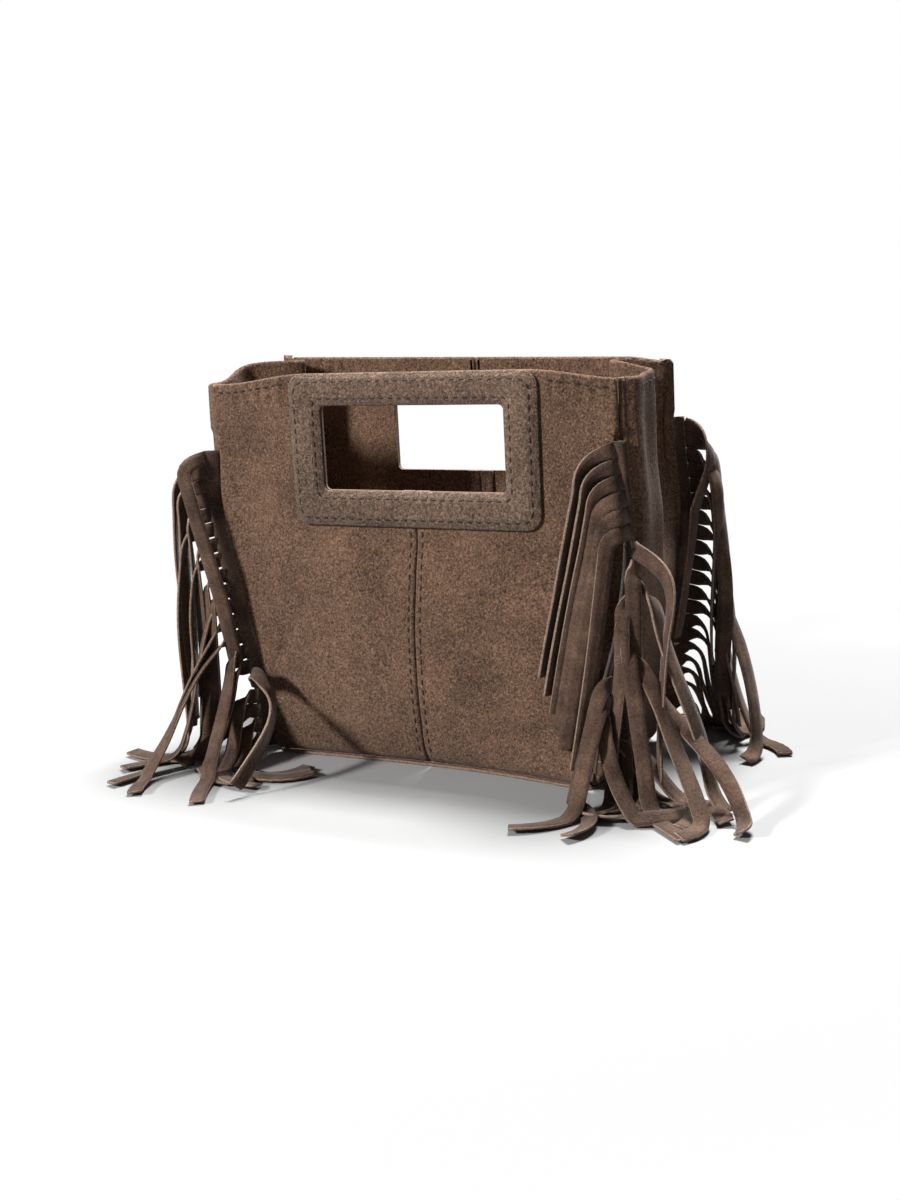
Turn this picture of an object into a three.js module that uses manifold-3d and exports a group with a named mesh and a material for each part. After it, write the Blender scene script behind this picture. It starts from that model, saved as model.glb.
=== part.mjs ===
import * as THREE from 'three';
import { mergeVertices } from 'three/addons/utils/BufferGeometryUtils.js';
import Module from 'manifold-3d';

const wasm = await Module();
wasm.setup();

// A small open-top handbag of split suede. Front and back are each two panels joined by a middle seam,
// two side gussets fold inwards, a flat base closes the bottom, and a rounded patch with a stiff board
// behind it makes each grab handle. A strip cut into strands is caught in each of the four corner seams.
// Millimetres. +X is to the right seen from the front, -Y is the front, +Z is up, and the origin is on
// the ground under the middle of the bag.

// Leather and board
const suede = 1.4;
const fringeSuede = 1.3;
const boardThickness = 1.6;
const clearance = 0.3;

// Body
const bodyHeight = 200;
const baseHalfWidth = 95.5;
const bellyHalfWidth = 111.5;
const bellyHeight = 122;
const rimHalfWidth = 108.7;
const leftFullness = 9;
const rimHalfDepth = 39;
const baseHalfDepth = 42.5;
const frontBelly = 6;
const backBelly = 4;
const bellyPeak = 60;
const bottomEdgeHollow = 4;
const frontRightFlare = 9;
const flareHeight = 90;
const bottomRadius = 6;

// Rim
const frontCornerDrop = 4.5;
const backRise = 2;
const backTilt = 2.2;
const backCornerDrop = 2.5;
const hemDepth = 10;

// Seams
const seamAllowance = 7;
const middleAllowance = 7;

// Handle patch and the opening through it
const openingWidth = 100;
const openingHeight = 42;
const openingBottom = 142;
const openingRadius = 2.5;
const patchBorder = 18;
const patchTop = 200;
const patchRadius = 8;
const boardInset = 5;

// Gussets
const gussetBulge = 3.5;
const gussetRoll = 5;
const foldRidgeY = 2;
const foldValleyY = 15;
const foldDepth = 17;
const foldStart = 85;
const foldFull = 165;

// Fringe
const caughtTop = 172;
const strandCount = 20;
const strandPitch = 8;
const slitWidth = 0.5;
const strandLength = 118;
const bottomTrim = 36;
const headerInside = 6;
const elbowOut = 1.5;
const rootOverlap = 0.6;
const landingRadius = 16;

const clamp01 = (value) => Math.min(1, Math.max(0, value));
const smooth = (from, to, value) => {
  const t = clamp01((value - from) / (to - from));
  return t * t * (3 - 2 * t);
};
const mix = (a, b, t) => a + (b - a) * t;
const radians = THREE.MathUtils.degToRad;

// Value of a smooth curve through knots [place, value], level at both ends.
function along(knots, place) {
  if (place <= knots[0][0]) return knots[0][1];
  let k = 0;
  while (k < knots.length - 2 && place > knots[k + 1][0]) k += 1;
  const [a, b] = [knots[k], knots[k + 1]];
  if (place >= b[0]) return b[1];
  const before = knots[Math.max(0, k - 1)];
  const after = knots[Math.min(knots.length - 1, k + 2)];
  const span = b[0] - a[0];
  const t = (place - a[0]) / span;
  const slopeA = ((b[1] - before[1]) / (b[0] - before[0])) * span;
  const slopeB = ((after[1] - a[1]) / (after[0] - a[0])) * span;
  const t2 = t * t;
  const t3 = t2 * t;
  return (2 * t3 - 3 * t2 + 1) * a[1] + (t3 - 2 * t2 + t) * slopeA
    + (3 * t2 - 2 * t3) * b[1] + (t3 - t2) * slopeB;
}

// Half width of the bag at the corner seams. It stands a little fuller on its left side.
const halfWidth = (z, side) => (side < 0 ? leftFullness * smooth(bellyPeak, 165, z) : 0) + along([
  [0, baseHalfWidth],
  [bellyHeight * 0.31, baseHalfWidth + 1.5],
  [bellyHeight * 0.62, mix(baseHalfWidth, bellyHalfWidth, 0.64)],
  [bellyHeight, bellyHalfWidth],
  [bellyHeight + 38, rimHalfWidth + 0.6],
  [bodyHeight, rimHalfWidth],
], z);

const patchWidth = openingWidth + 2 * patchBorder;
const patchBottom = openingBottom - patchBorder;
const flatFrom = patchBottom - 6;

// How far the outside of the front or back lies from the middle plane. It is flat behind the handle.
function faceDepth(x, z, side) {
  const across = Math.min(1, Math.abs(x) / halfWidth(z, x));
  const belly = side < 0 ? frontBelly : backBelly;
  const edge = along([[0, baseHalfDepth], [bellyPeak, baseHalfDepth - 0.5], [flatFrom, rimHalfDepth]], z);
  const middle = along([[0, -bottomEdgeHollow], [bellyPeak / 3, belly * 0.3], [bellyPeak, belly],
    [flatFrom - 18, belly * 0.5], [flatFrom, 0]], z);
  const flare = side < 0 && x > 0 ? frontRightFlare * (1 - clamp01(z / flareHeight)) ** 2 : 0;
  return edge + middle * (1 - across * across) + flare * across * across;
}

// Height of the rim over any point of the bag's outline.
function rimHeight(x, y) {
  const front = bodyHeight - frontCornerDrop * smooth(60, rimHalfWidth, Math.abs(x));
  const back = bodyHeight + backRise - backTilt * (x / rimHalfWidth)
    - backCornerDrop * smooth(rimHalfWidth - 24, rimHalfWidth, x);
  return mix(front, back, smooth(foldRidgeY - 28, foldRidgeY + 6, y));
}
const raised = (x, y, z) => z + (rimHeight(x, y) - bodyHeight) * smooth(flatFrom, bodyHeight, z);

// Gap from a corner seam's middle to the leather on each side: wide where the fringe is caught in it.
const seamGap = (z) => Math.SQRT2 * mix(fringeSuede / 2 + 2.8 * clearance, clearance,
  smooth(caughtTop + 1, caughtTop + 4, z));

// Rows of heights, with how far the leather is rolled under and tilted at each.
const bottomLift = suede + clearance;
const rollAngles = [78, 40, 0];
const rows = [
  ...rollAngles.map((angle) => ({
    z: bottomLift + bottomRadius * (1 - Math.sin(radians(angle))),
    inset: bottomRadius * (1 - Math.cos(radians(angle))),
    tilt: radians(angle),
  })),
  ...[20, 40, 60, 80, 100, flatFrom, 145, caughtTop + 1, caughtTop + 4, bodyHeight - hemDepth - clearance]
    .map((z) => ({ z, inset: 0, tilt: 0 })),
  ...[bodyHeight - hemDepth, bodyHeight].map((z) => ({ z, inset: 0, tilt: 0, hem: true })),
];

// The inside line of a wall whose outside line is given, with its own thickness at each point.
function insideLine(points, thickness, inward) {
  return points.map((point, i) => {
    const before = points[Math.max(0, i - 1)];
    const after = points[Math.min(points.length - 1, i + 1)];
    const normal = (a, b) => {
      const n = new THREE.Vector2(-(b.y - a.y), b.x - a.x).normalize();
      return n.multiplyScalar(inward);
    };
    const first = i === 0 ? normal(point, after) : normal(before, point);
    const second = i === points.length - 1 ? first : normal(point, after);
    const scale = thickness[i] / (1 + first.dot(second));
    return first.clone().add(second).multiplyScalar(scale).add(point);
  });
}

// A closed sheet from rows of outer and inner points of equal number.
function closedSheet(outer, inner) {
  const columns = outer[0].length;
  const size = outer.length * columns;
  const positions = [...outer.flat(), ...inner.flat()].flatMap((p) => [p.x, p.y, p.z]);
  const index = [];
  const quad = (a, b, c, d) => index.push(a, b, c, a, c, d);
  for (let r = 0; r < outer.length - 1; r += 1) {
    for (let c = 0; c < columns - 1; c += 1) {
      const a = r * columns + c;
      quad(a, a + 1, a + columns + 1, a + columns);
      quad(size + a, size + a + columns, size + a + columns + 1, size + a + 1);
    }
    const left = r * columns;
    const right = left + columns - 1;
    quad(left, left + columns, size + left + columns, size + left);
    quad(right, size + right, size + right + columns, right + columns);
  }
  for (let c = 0; c < columns - 1; c += 1) {
    const top = (outer.length - 1) * columns + c;
    quad(c, size + c, size + c + 1, c + 1);
    quad(top, top + 1, size + top + 1, size + top);
  }
  const geometry = new THREE.BufferGeometry();
  geometry.setAttribute('position', new THREE.Float32BufferAttribute(positions, 3));
  geometry.setIndex(index);
  return geometry;
}

function solidOf(geometry) {
  const bare = geometry.clone();
  bare.deleteAttribute('normal');
  bare.deleteAttribute('uv');
  const merged = mergeVertices(bare, 1e-4);
  return new wasm.Manifold(new wasm.Mesh({
    numProp: 3,
    vertProperties: new Float32Array(merged.attributes.position.array),
    triVerts: new Uint32Array(merged.index.array),
  }));
}

// Strands that cross can close a pocket of air between them. Only the outside shell is kept.
const outerShell = (solid) => solid.decompose().reduce((a, b) => (b.volume() > a.volume() ? b : a));

function geometryOf(solid) {
  const mesh = solid.getMesh();
  const geometry = new THREE.BufferGeometry();
  geometry.setAttribute('position', new THREE.BufferAttribute(mesh.vertProperties, 3));
  geometry.setIndex(new THREE.BufferAttribute(mesh.triVerts, 1));
  return geometry;
}

function turnedOutwards(geometry) {
  const p = geometry.attributes.position;
  const index = geometry.index.array;
  let volume = 0;
  const [a, b, c] = [new THREE.Vector3(), new THREE.Vector3(), new THREE.Vector3()];
  for (let i = 0; i < index.length; i += 3) {
    a.fromBufferAttribute(p, index[i]);
    b.fromBufferAttribute(p, index[i + 1]);
    c.fromBufferAttribute(p, index[i + 2]);
    volume += a.dot(b.cross(c));
  }
  if (volume < 0) {
    for (let i = 0; i < index.length; i += 3) [index[i + 1], index[i + 2]] = [index[i + 2], index[i + 1]];
  }
  return geometry;
}

// A wall lofted through the rows from the outside line that `section` gives at each height.
function wall(section, inward) {
  const outer = [];
  const inner = [];
  for (const row of rows) {
    const { points, thickness } = section(row);
    const inside = insideLine(points, thickness.map((t) => t * Math.cos(row.tilt)), inward);
    const lift = (p, extra) => new THREE.Vector3(p.x, p.y, raised(p.x, p.y, row.z) + extra);
    outer.push(points.map((p) => lift(p, 0)));
    inner.push(inside.map((p) => lift(p, suede * Math.sin(row.tilt))));
  }
  return turnedOutwards(closedSheet(outer, inner));
}

// Direction that runs out of the bag at a corner seam, along the caught leather.
const cornerDirection = (sideX, sideY) => new THREE.Vector2(sideX, sideY).normalize();
const seamPoint = (sideX, sideY, row) => {
  const x = sideX * (halfWidth(row.z, sideX) - row.inset);
  return new THREE.Vector2(x, sideY * (faceDepth(x, row.z, sideY) - row.inset));
};

// Half of the front (sideY -1) or back (sideY 1). Its middle edge is turned back flat inside, its outer
// edge is turned in along the corner seam, and its top edge is turned over as a hem.
function panelGeometry(sideX, sideY) {
  const shares = [0.25, 0.5, 0.75, 0.92];
  const section = (row) => {
    const seam = seamPoint(sideX, sideY, row);
    const edge = Math.abs(seam.x) - seamGap(row.z);
    const spread = [clearance / 2, middleAllowance, middleAllowance + clearance,
      ...shares.map((share) => edge * share), edge];
    const points = spread.map((x) => new THREE.Vector2(
      sideX * x, sideY * (faceDepth(sideX * x, row.z, sideY) - row.inset)));
    const corner = points[points.length - 1];
    points.push(corner.clone().addScaledVector(cornerDirection(sideX, sideY), -seamAllowance));
    const last = points.length - 1;
    const thickness = points.map((_, i) => (i < last - 1 && (i < 2 || row.hem) ? 2 * suede : suede));
    return { points, thickness };
  };
  const inward = sideX * -sideY;
  const sheet = solidOf(wall(section, inward));
  return geometryOf(sheet.subtract(solidOf(handleOpening(sideY))));
}

// Rounded rectangle centred on x = 0 from the height bottom upwards.
function roundedRectangle(width, height, bottom, radius) {
  const shape = new THREE.Shape();
  const [left, right, top] = [-width / 2, width / 2, bottom + height];
  shape.moveTo(left + radius, bottom);
  shape.lineTo(right - radius, bottom);
  shape.absarc(right - radius, bottom + radius, radius, -Math.PI / 2, 0, false);
  shape.lineTo(right, top - radius);
  shape.absarc(right - radius, top - radius, radius, 0, Math.PI / 2, false);
  shape.lineTo(left + radius, top);
  shape.absarc(left + radius, top - radius, radius, Math.PI / 2, Math.PI, false);
  shape.lineTo(left, bottom + radius);
  shape.absarc(left + radius, bottom + radius, radius, Math.PI, 1.5 * Math.PI, false);
  return shape;
}

// An upright plate: the shape is drawn in X and Z, and `near` is its face nearest the middle plane.
function uprightPlate(shape, near, thickness, sideY) {
  const plate = new THREE.ExtrudeGeometry(shape, { depth: thickness, bevelEnabled: false, curveSegments: 3 });
  plate.rotateX(Math.PI / 2);
  plate.translate(0, sideY < 0 ? -near : near + thickness, 0);
  return plate;
}

const handleOpening = (sideY) => uprightPlate(
  roundedRectangle(openingWidth, openingHeight, openingBottom, openingRadius),
  rimHalfDepth - 3 * suede, 6 * suede, sideY);

// The frame round the hand opening, inset from the patch's outline for the board.
function handleFrame(outerInset, openingInset, near, thickness, sideY) {
  const shape = roundedRectangle(patchWidth - 2 * outerInset, patchTop - patchBottom - 2 * outerInset,
    patchBottom + outerInset, patchRadius - outerInset / 2);
  shape.holes.push(roundedRectangle(openingWidth + 2 * openingInset, openingHeight + 2 * openingInset,
    openingBottom - openingInset, openingRadius));
  return uprightPlate(shape, near, thickness, sideY);
}
const boardNear = rimHalfDepth + clearance;
const patchNear = boardNear + boardThickness + clearance;

// A gusset: its front half bows out to a ridge, then the leather folds in to a valley and comes back to
// the rear seam. The fold dies out downwards.
function gussetGeometry(sideX) {
  const section = (row) => {
    const front = seamPoint(sideX, -1, row);
    const back = seamPoint(sideX, 1, row);
    const gap = seamGap(row.z);
    const fold = smooth(foldStart, foldFull, row.z);
    const bow = gussetBulge * smooth(0, 30, row.z);
    const rolled = smooth(bellyPeak, 150, row.z);
    const offsets = [
      [front.y + gap, 0],
      [front.y + gap + 8, gussetRoll * rolled],
      [foldRidgeY - 18, mix(bow, gussetRoll * 0.7, rolled)],
      [foldRidgeY, mix(bow, 1.5, rolled)],
      [foldValleyY, mix(bow * 0.9, -foldDepth, fold)],
      [foldValleyY + 12, mix(bow * 0.6, -foldDepth * 0.45, fold)],
      [back.y - gap, 0],
    ];
    const places = [front.y + gap, foldRidgeY - 30, foldRidgeY - 20, foldRidgeY - 8, foldRidgeY,
      foldRidgeY + 5, mix(foldRidgeY, foldValleyY, 0.7), foldValleyY, foldValleyY + 6, foldValleyY + 14,
      back.y - gap];
    const seamX = (y) => mix(front.x, back.x, (y - front.y) / (back.y - front.y));
    const points = places.map((y) => new THREE.Vector2(seamX(y) + sideX * along(offsets, y), y));
    const [first, last] = [points[0], points[points.length - 1]];
    points.unshift(first.clone().addScaledVector(cornerDirection(sideX, -1), -seamAllowance));
    points.push(last.clone().addScaledVector(cornerDirection(sideX, 1), -seamAllowance));
    const end = points.length - 1;
    const thickness = points.map((_, i) => (row.hem && i > 2 && i < end - 2 ? 2 * suede : suede));
    return { points, thickness };
  };
  return wall(section, sideX);
}

// The base lies under the rolled edges of the walls, and its cut edge just shows.
function baseGeometry() {
  const inset = bottomRadius * 0.35;
  const line = [];
  const corners = [[1, -1], [1, 1], [-1, 1], [-1, -1]];
  for (const [sideX, sideY] of corners) {
    const seam = seamPoint(sideX, sideY, { z: 0, inset });
    const cut = 5;
    const ends = [new THREE.Vector2(seam.x, seam.y - sideY * cut), new THREE.Vector2(seam.x - sideX * cut, seam.y)];
    line.push(...(sideX * sideY > 0 ? ends : ends.reverse()));
    if (sideX * sideY > 0) {
      const quarter = (share) => new THREE.Vector2(seam.x * share,
        sideY * (faceDepth(seam.x * share, 0, sideY) - inset));
      line.push(quarter(0.6), quarter(0.2), quarter(-0.2), quarter(-0.6));
    }
  }
  return new THREE.ExtrudeGeometry(new THREE.Shape(line), { depth: suede, bevelEnabled: false });
}

// Fringe. Each strand leaves the header sideways, droops edgewise, hangs, and where it is long enough it
// lands on the ground and runs along it.
const scatter = (seed, item) => {
  const value = Math.sin(seed * 12.9898 + item * 78.233) * 43758.5453;
  return 2 * (value - Math.floor(value)) - 1;
};
const heading = (azimuth, elevation) => new THREE.Vector3(
  Math.cos(radians(elevation)) * Math.cos(radians(azimuth)),
  Math.cos(radians(elevation)) * Math.sin(radians(azimuth)),
  Math.sin(radians(elevation)));

const ribbonStops = [0, 0.08, 0.17, 0.34, 0.56, 0.78, 1];
const strandStep = 2.5;
const strandWidth = strandPitch - slitWidth;

// Keeps a point outside the bag's walls by the room it needs.
function outsideBag(point, room) {
  const z = Math.max(0, point.z);
  if (z > bodyHeight) return;
  const side = point.y < 0 ? -1 : 1;
  const insideWidth = halfWidth(z, point.x) + gussetRoll + room - Math.abs(point.x);
  const insideDepth = faceDepth(point.x, z, side) + room - Math.abs(point.y);
  if (insideWidth <= 0 || insideDepth <= 0) return;
  if (insideDepth < insideWidth) point.y += side * insideDepth;
  else point.x += Math.sign(point.x) * insideWidth;
}

// Centre points and width directions of one strand. It leaves by `out` and `rise`, and by twice `reach`
// it hangs towards `lean`, at an angle off plumb that goes from `top` to `tip`.
function strandPath(root, lay) {
  const leaving = heading(lay.out, lay.rise);
  const point = root.clone();
  const across = new THREE.Vector3(0, 0, 1);
  let direction = leaving.clone();
  let landed = 0;
  const path = [];
  for (let s = 0; s <= lay.length; s += strandStep) {
    across.addScaledVector(direction, -across.dot(direction)).normalize();
    path.push({ point: point.clone(), across: across.clone() });
    const hung = clamp01((s - lay.reach) / (lay.length - lay.reach));
    const hanging = heading(lay.lean, mix(lay.top, lay.tip, hung) - 90);
    const next = leaving.clone().lerp(hanging, smooth(1, lay.reach * 2, s)).normalize();
    const face = new THREE.Vector3().crossVectors(direction, across);
    const room = Math.abs(across.z) * strandWidth / 2 + Math.abs(face.z) * fringeSuede / 2 + clearance;
    const height = Math.max(0, point.z - room);
    if (height < landingRadius) {
      const fall = Math.sqrt(1 - (1 - height / landingRadius) ** 2);
      if (next.z < -fall) {
        landed += strandStep;
        next.copy(heading(lay.lean + lay.curl * landed, 0).multiplyScalar(Math.sqrt(1 - fall * fall)));
        next.z = -fall;
      }
    }
    direction = next.normalize();
    point.addScaledVector(direction, strandStep);
    outsideBag(point, lay.room);
    point.z = Math.max(point.z, room);
  }
  return path;
}

// A flat ribbon along a path, from a few of its points.
function ribbon(path) {
  const stops = ribbonStops.map((share) => Math.round(share * (path.length - 1)));
  const ring = [];
  for (const stop of stops) {
    const { point, across } = path[stop];
    const before = path[Math.max(0, stop - 1)].point;
    const after = path[Math.min(path.length - 1, stop + 1)].point;
    const ahead = after.clone().sub(before).normalize();
    const face = new THREE.Vector3().crossVectors(ahead, across).normalize();
    const side = new THREE.Vector3().crossVectors(face, ahead).normalize();
    ring.push([[1, 1], [-1, 1], [-1, -1], [1, -1]].map(([a, b]) => point.clone()
      .addScaledVector(side, a * strandWidth / 2).addScaledVector(face, b * fringeSuede / 2)));
    for (const corner of ring[ring.length - 1]) corner.z = Math.max(corner.z, clearance / 2);
  }
  const index = [];
  for (let r = 0; r < ring.length - 1; r += 1) {
    for (let c = 0; c < 4; c += 1) {
      const [a, b] = [r * 4 + c, r * 4 + (c + 1) % 4];
      index.push(a, b, b + 4, a, b + 4, a + 4);
    }
  }
  const end = (ring.length - 1) * 4;
  index.push(0, 2, 1, 0, 3, 2, end, end + 1, end + 2, end, end + 2, end + 3);
  const geometry = new THREE.BufferGeometry();
  geometry.setAttribute('position', new THREE.Float32BufferAttribute(
    ring.flat().flatMap((p) => [p.x, p.y, p.z]), 3));
  geometry.setIndex(index);
  return turnedOutwards(geometry);
}

// How each corner's strands lie, by share of the way down the strip: how wide the uncut part is, the
// direction they leave in, how far they reach before they hang, the way they lean, and degrees off plumb
// at the top and at the tip. `room` is what a strand keeps from the walls: on the front right corner
// the first strands lie flat over the panel, each over the one above it.
const lays = {
  front_right: {
    sideX: 1, sideY: -1, seed: 3, top: 170, curl: 0.3,
    header: [[0, 8], [0.25, 3], [1, 3]],
    room: [[0, 2.5], [0.27, 11], [0.33, 3], [1, 6]],
    out: [[0, 190], [0.27, 200], [0.36, 290], [0.6, 325], [1, 355]],
    reach: [[0, 15], [0.25, 6], [0.35, 12], [1, 10]],
    lean: [[0, 184], [0.27, 188], [0.36, 286], [0.6, 316], [1, 356]],
    plumbTop: [[0, 8], [0.27, 5], [0.4, 4], [0.7, 8], [1, 14]],
    plumbTip: [[0, 6], [0.27, 5], [0.4, 5], [0.7, 12], [1, 18]],
  },
  front_left: {
    sideX: -1, sideY: -1, seed: 5, top: 164, curl: 1,
    header: [[0, 4], [1, 3]],
    room: [[0, 2.5], [1, 8]],
    out: [[0, 200], [0.2, 205], [0.5, 232], [1, 285]],
    reach: [[0, 11], [0.5, 9], [1, 9]],
    lean: [[0, 300], [0.08, 215], [0.3, 225], [0.6, 245], [1, 290]],
    plumbTop: [[0, 6], [0.1, 3], [0.3, 4], [0.5, 10], [1, 22]],
    plumbTip: [[0, 2], [0.1, 2], [0.3, 6], [0.5, 26], [1, 34]],
  },
  back_right: {
    sideX: 1, sideY: 1, seed: 7, top: 172, curl: 1.2,
    header: [[0, 4], [1, 3]],
    room: [[0, 2.5], [1, 8]],
    out: [[0, -6], [0.5, 20], [1, 60]],
    reach: [[0, 13], [0.5, 11], [1, 11]],
    lean: [[0, 330], [0.1, 358], [0.5, 380], [1, 425]],
    plumbTop: [[0, 3], [0.1, 4], [0.4, 7], [0.6, 16], [1, 24]],
    plumbTip: [[0, -6], [0.1, 2], [0.4, 8], [0.6, 26], [1, 30]],
  },
  back_left: {
    sideX: -1, sideY: 1, seed: 11, top: 166, curl: -1.2,
    header: [[0, 4], [1, 3]],
    room: [[0, 2.5], [1, 8]],
    out: [[0, 174], [0.5, 158], [1, 120]],
    reach: [[0, 13], [0.5, 11], [1, 11]],
    lean: [[0, 180], [0.5, 160], [1, 115]],
    plumbTop: [[0, 3], [0.4, 7], [0.6, 16], [1, 24]],
    plumbTip: [[0, 2], [0.4, 8], [0.6, 26], [1, 30]],
  },
};

// Where the strip leaves its seam, by share of the way down it, and the strands' direction there.
function stripPlace(corner, share) {
  const out = cornerDirection(corner.sideX, corner.sideY);
  const z = corner.top - strandPitch * strandCount * share;
  const seam = seamPoint(corner.sideX, corner.sideY, { z, inset: 0 });
  const away = heading(along(corner.out, share), 0);
  const turned = new THREE.Vector2(away.x, away.y);
  const elbow = seam.clone().addScaledVector(out, elbowOut);
  return { seam, out, elbow, turned, z: raised(seam.x, seam.y, z), reach: along(corner.header, share) };
}

// The header of a fringe: caught in the seam inside, turned the strands' way outside.
function headerGeometry(corner) {
  const steps = 9;
  const outer = [];
  const inner = [];
  for (let k = 0; k <= steps; k += 1) {
    const { seam, out, elbow, turned, z, reach } = stripPlace(corner, 1 - k / steps);
    const points = [seam.clone().addScaledVector(out, -headerInside), elbow,
      elbow.clone().addScaledVector(turned, reach)];
    const half = points.map(() => fringeSuede / 2);
    const lift = (p) => new THREE.Vector3(p.x, p.y, z);
    outer.push(insideLine(points, half, 1).map(lift));
    inner.push(insideLine(points, half, -1).map(lift));
  }
  return turnedOutwards(closedSheet(outer, inner));
}

function fringeGeometry(corner) {
  let solid = solidOf(headerGeometry(corner));
  for (let i = 0; i < strandCount; i += 1) {
    const share = (i + 0.5) / strandCount;
    const { elbow, turned, z, reach } = stripPlace(corner, share);
    const end = elbow.clone().addScaledVector(turned, reach - rootOverlap);
    const loose = (knots, swing, item) => along(knots, share) + swing * scatter(corner.seed + item, i);
    const lay = {
      out: along(corner.out, share),
      rise: mix(-14, 30, smooth(0.55, 1, share)),
      lean: along(corner.lean, share),
      top: loose(corner.plumbTop, 0.8, 1),
      tip: along(corner.plumbTip, share),
      reach: loose(corner.reach, 1, 4),
      curl: corner.curl,
      room: along(corner.room, share),
      length: strandLength - bottomTrim * smooth(0.5, 1, share),
    };
    solid = solid.add(solidOf(ribbon(strandPath(new THREE.Vector3(end.x, end.y, z), lay))));
  }
  return geometryOf(outerShell(solid));
}

const suedeBrown = new THREE.MeshStandardMaterial({ color: 0x6e5746, roughness: 0.95, metalness: 0 });
const fringeBrown = new THREE.MeshStandardMaterial({ color: 0x6b5142, roughness: 0.9, metalness: 0 });
const boardGrey = new THREE.MeshStandardMaterial({ color: 0x6a6258, roughness: 0.9, metalness: 0 });

const bag = new THREE.Group();
function place(name, geometry, material) {
  const mesh = new THREE.Mesh(geometry, material.clone());
  mesh.name = name;
  bag.add(mesh);
}

const sides = [['front', -1], ['back', 1]];
for (const [face, sideY] of sides) {
  place(`${face}_panel_left`, panelGeometry(-1, sideY), suedeBrown);
  place(`${face}_panel_right`, panelGeometry(1, sideY), suedeBrown);
  place(`${face}_handle_board`,
    handleFrame(boardInset, boardInset, boardNear, boardThickness, sideY), boardGrey);
  place(`${face}_handle_patch`, handleFrame(0, 0, patchNear, suede, sideY), suedeBrown);
}
place('gusset_left', gussetGeometry(-1), suedeBrown);
place('gusset_right', gussetGeometry(1), suedeBrown);
place('base_panel', baseGeometry(), suedeBrown);
for (const [name, corner] of Object.entries(lays)) place(`fringe_${name}`, fringeGeometry(corner), fringeBrown);

export default bag;
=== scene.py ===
import math

import bpy
from mathutils import Matrix, Vector


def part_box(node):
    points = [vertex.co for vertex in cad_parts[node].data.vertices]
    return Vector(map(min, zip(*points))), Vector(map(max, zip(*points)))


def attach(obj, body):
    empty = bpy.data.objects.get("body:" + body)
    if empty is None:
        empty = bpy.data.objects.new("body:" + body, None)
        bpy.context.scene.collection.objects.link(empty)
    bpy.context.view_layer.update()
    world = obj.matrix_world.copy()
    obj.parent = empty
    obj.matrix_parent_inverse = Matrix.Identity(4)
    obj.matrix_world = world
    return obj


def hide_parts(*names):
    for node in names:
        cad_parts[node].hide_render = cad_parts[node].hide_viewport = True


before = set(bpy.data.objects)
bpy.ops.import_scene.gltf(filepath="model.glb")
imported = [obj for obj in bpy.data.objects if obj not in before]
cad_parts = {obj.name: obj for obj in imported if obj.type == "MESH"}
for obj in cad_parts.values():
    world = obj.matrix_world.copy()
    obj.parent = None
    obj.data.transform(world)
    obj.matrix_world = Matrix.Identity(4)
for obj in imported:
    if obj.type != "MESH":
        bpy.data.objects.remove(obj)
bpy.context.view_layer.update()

# Camera. It stands in front of the bag and to its right, a little above it, and looks down at it.
# Its place, turn and lens were worked out from the patch, the rim, the seams and the base.
camera_place = Vector((0.3434, -0.6785, 0.2421))
camera_yaw = math.radians(27.07)
camera_pitch = math.radians(12.08)
camera_roll = math.radians(-2.9)
camera_data = bpy.data.cameras.new("camera")
camera_data.sensor_fit = "VERTICAL"
camera_data.sensor_height = 36
camera_data.lens = 44.82
camera = bpy.data.objects.new("camera", camera_data)
camera.matrix_world = (
    Matrix.Translation(camera_place)
    @ Matrix.Rotation(camera_yaw, 4, "Z")
    @ Matrix.Rotation(math.pi / 2 - camera_pitch, 4, "X")
    @ Matrix.Rotation(camera_roll, 4, "Z")
)
bpy.context.scene.collection.objects.link(camera)
bpy.context.scene.camera = camera

# Front and back panels. Each face is two pieces of coarse split suede joined by a middle seam.
# Their edges are turned in at the seams, rolled under at the base and turned over as a hem at the rim.
# Sizes are in millimetres, and are made metres where a mesh is made.
MM = 0.001
suede = 1.4
clearance = 0.3
body_height = 200
base_half_width = 95.5
belly_half_width = 111.5
belly_height = 122
rim_half_width = 108.7
left_fullness = 9
fullness_start = 60
fullness_full = 165
rim_half_depth = 39
base_half_depth = 42.5
front_belly = 6
back_belly = 4
bottom_edge_hollow = 4
front_right_flare = 9
flare_height = 90
bottom_radius = 6
flat_from = 118
front_corner_drop = 4.5
back_rise = 2
back_tilt = 2.2
back_corner_drop = 2.5
hem_depth = 10
seam_allowance = 7
trim_start = 183
trim_end = 189
trimmed_share = 0.2
fringe_suede = 1.3
caught_top = 172
fold_radius = suede + 0.1
fold_setback = fold_radius * math.tan(math.radians(67.5))
grain = 1.5


def clamp01(value):
    return min(1, max(0, value))


def smooth(start, end, value):
    t = clamp01((value - start) / (end - start))
    return t * t * (3 - 2 * t)


def mix(a, b, t):
    return a + (b - a) * t


def along(knots, place):
    """The value of a smooth curve through knots of (place, value), level at both ends."""
    if place <= knots[0][0]:
        return knots[0][1]
    k = 0
    while k < len(knots) - 2 and place > knots[k + 1][0]:
        k += 1
    a, b = knots[k], knots[k + 1]
    if place >= b[0]:
        return b[1]
    before, after = knots[max(0, k - 1)], knots[min(len(knots) - 1, k + 2)]
    span = b[0] - a[0]
    t = (place - a[0]) / span
    slope_a = (b[1] - before[1]) / (b[0] - before[0]) * span
    slope_b = (after[1] - a[1]) / (after[0] - a[0]) * span
    return ((2 * t**3 - 3 * t**2 + 1) * a[1] + (t**3 - 2 * t**2 + t) * slope_a
            + (3 * t**2 - 2 * t**3) * b[1] + (t**3 - t**2) * slope_b)


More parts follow.
